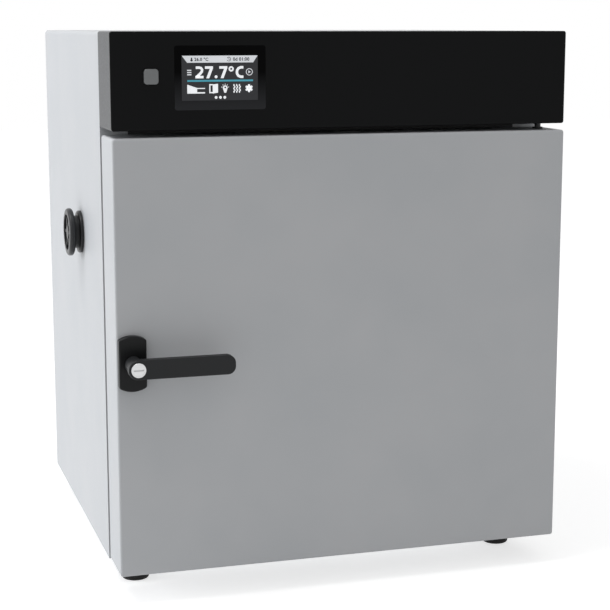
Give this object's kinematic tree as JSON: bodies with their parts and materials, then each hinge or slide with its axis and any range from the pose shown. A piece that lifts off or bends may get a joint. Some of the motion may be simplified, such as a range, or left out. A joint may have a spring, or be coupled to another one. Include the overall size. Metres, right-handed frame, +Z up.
{
  "type": "laboratory incubator",
  "caption": "Bench-top heated and cooled incubator with a side-hinged door, lever handle, touch display, wire shelves and a side access port.",
  "frame": {"origin": "middle of the bounding box's bottom face, on the surface that the feet stand on", "axes": "+X towards the viewer's right, the hinge side; +Y from the door towards the rear; +Z up"},
  "size_m": [0.6094, 0.6106, 0.71],
  "materials": {
    "paint_light": "satin",
    "paint_graphite": "satin",
    "galvanised": "satin",
    "stainless": "satin",
    "hinge_steel": "satin",
    "zinc_screws": "gloss",
    "black_gloss": "gloss",
    "black_plastic": "satin",
    "screen": "gloss",
    "button_metal": "satin",
    "lock_metal": "satin",
    "rubber": "matte",
    "silicone": "matte",
    "mineral_wool": "matte",
    "circuit_board": "satin",
    "aluminium": "satin",
    "ceramic_tile": "matte",
    "lamp_lens": "satin"
  },
  "bodies": {
    "cabinet": {"outer_wrap": "paint_light", "base_pan": "galvanised", "rear_panel": "paint_light", "rear_panel_screws": "zinc_screws", "front_frame": "paint_light", "breaker_frame": "black_plastic", "chamber_liner": "stainless", "insulation_left": "mineral_wool", "insulation_right": "mineral_wool", "insulation_top": "mineral_wool", "insulation_bottom": "mineral_wool", "insulation_rear": "mineral_wool", "bay_floor": "galvanised", "head_housing": "paint_graphite", "fascia_panel": "black_gloss", "display_glass": "screen", "display_module": "black_plastic", "button_switch": "black_plastic", "hinge_bracket_upper": "hinge_steel", "hinge_bracket_lower": "hinge_steel", "latch_stud": "zinc_screws", "port_flange": "black_plastic", "port_liner": "black_plastic", "rubber_feet": "rubber", "foot_screws": "zinc_screws", "shelf_rack_left": "stainless", "shelf_rack_right": "stainless", "air_baffle": "stainless", "temperature_probe": "stainless", "chamber_lamp": "lamp_lens", "circulation_fan_motor": "black_plastic", "heater_element": "stainless", "cold_heatsink": "aluminium", "hot_heatsink": "aluminium", "peltier_module": "ceramic_tile", "exhaust_fan_frame": "black_plastic", "fan_guard": "zinc_screws", "board_standoffs": "zinc_screws", "main_board": "circuit_board", "power_supply": "galvanised", "mains_inlet": "black_plastic", "data_ports": "black_plastic"},
    "door": {"door_skin": "paint_light", "door_insulation": "mineral_wool", "door_inner_panel": "stainless", "door_gasket": "silicone", "hinge_bushes": "black_plastic", "escutcheon": "black_plastic"},
    "handle": {"handle_lever": "black_plastic", "latch_shaft": "zinc_screws", "latch_hook": "zinc_screws"},
    "lock": {"lock_cylinder": "lock_metal"},
    "power_key": {"power_button": "button_metal"},
    "port_stopper": {"port_cap": "black_plastic", "port_plug": "silicone"},
    "air_wheel": {"circulation_fan": "aluminium", "fan_shaft": "zinc_screws"},
    "exhaust_wheel": {"exhaust_fan_rotor": "black_plastic"},
    "lower_shelf": {"shelf_lower": "stainless"},
    "upper_shelf": {"shelf_upper": "stainless"}
  },
  "joints": [
    {"name": "door_swing", "type": "hinge", "parent": "cabinet", "child": "door", "pos_m": [0.28475, -0.2201, 0.309], "axis": [0, 0, 1], "range_deg": [0, 180]},
    {"name": "handle_turn", "type": "hinge", "parent": "door", "child": "handle", "pos_m": [-0.26655, -0.2741, 0.31135], "axis": [0, 1, 0], "range_deg": [0, 90]},
    {"name": "lock_turn", "type": "hinge", "parent": "handle", "child": "lock", "pos_m": [-0.26655, -0.2991, 0.31135], "axis": [0, 1, 0], "range_deg": [0, 90]},
    {"name": "power_button_press", "type": "slide", "parent": "cabinet", "child": "power_key", "axis": [0, 1, 0], "range_m": [0, 0.0025], "stiffness_N_per_m": 400},
    {"name": "port_cap_pull", "type": "slide", "parent": "cabinet", "child": "port_stopper", "axis": [-1, 0, 0], "range_m": [0, 0.15]},
    {"name": "air_wheel_spin", "type": "hinge", "parent": "cabinet", "child": "air_wheel", "pos_m": [0.00975, 0.1859, 0.406], "axis": [0, 1, 0], "continuous": true},
    {"name": "exhaust_wheel_spin", "type": "hinge", "parent": "cabinet", "child": "exhaust_wheel", "pos_m": [0.00975, 0.2859, 0.226], "axis": [0, 1, 0], "continuous": true},
    {"name": "lower_shelf_slide", "type": "slide", "parent": "cabinet", "child": "lower_shelf", "axis": [0, 1, 0], "range_m": [-0.22, 0]},
    {"name": "upper_shelf_slide", "type": "slide", "parent": "cabinet", "child": "upper_shelf", "axis": [0, 1, 0], "range_m": [-0.22, 0]}
  ],
  "couplings": [
    {"joint": "lower_shelf_slide", "follows": "door_swing", "m_per_rad": -0.069958},
    {"joint": "upper_shelf_slide", "follows": "door_swing", "m_per_rad": -0.069958}
  ]
}
